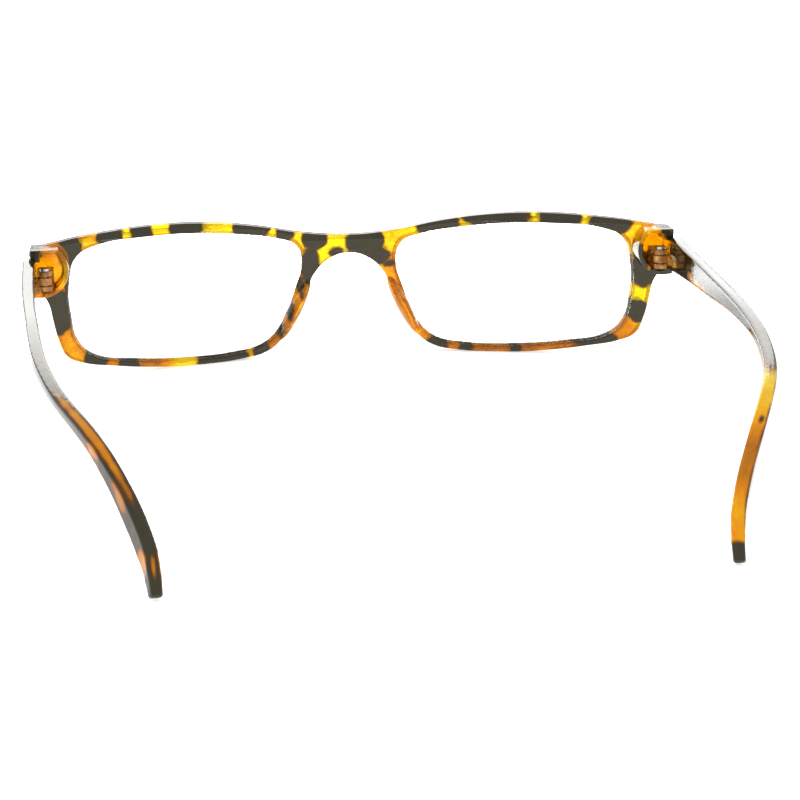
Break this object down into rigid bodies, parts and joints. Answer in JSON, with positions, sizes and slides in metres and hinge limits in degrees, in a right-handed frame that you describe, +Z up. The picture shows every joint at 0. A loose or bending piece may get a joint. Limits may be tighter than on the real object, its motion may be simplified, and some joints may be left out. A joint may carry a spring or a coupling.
{
  "type": "folding reading glasses",
  "caption": "Reading glasses with a wrapped tortoise plastic front, moulded nose pads, clear lenses and temples that fold on screw hinges.",
  "frame": {"origin": "centre of the footprint on the table the open glasses stand on", "axes": "+Z up, the front faces -Y, the temples run back toward +Y, +X is the wearer's left"},
  "size_m": [0.1384, 0.1381, 0.0316],
  "materials": {
    "tortoise_plastic": "glossy translucent amber with dark brown patches",
    "clear_lens": "clear polished plastic",
    "hinge_plastic": "moulded amber-brown plastic",
    "screw_steel": "fine-turned steel",
    "label_film": "thin clear adhesive film"
  },
  "bodies": {
    "front": {"front_frame": "tortoise_plastic", "lens_left": "clear_lens", "lens_right": "clear_lens", "power_label": "label_film", "hinge_front_leaf_left": "hinge_plastic", "hinge_front_leaf_right": "hinge_plastic", "hinge_screw_left": "screw_steel", "hinge_screw_right": "screw_steel"},
    "temple_left": {"temple_left": "tortoise_plastic", "hinge_temple_leaf_left": "hinge_plastic"},
    "temple_right": {"temple_right": "tortoise_plastic", "hinge_temple_leaf_right": "hinge_plastic"}
  },
  "joints": [
    {"name": "temple_hinge_left", "type": "hinge", "parent": "front", "child": "temple_left", "pos_m": [0.0649, -0.0467, 0.02345], "axis": [0, 0, 1], "range_deg": [0, 83]},
    {"name": "temple_hinge_right", "type": "hinge", "parent": "front", "child": "temple_right", "pos_m": [-0.0649, -0.0467, 0.02345], "axis": [0, 0, -1], "range_deg": [0, 78]}
  ]
}
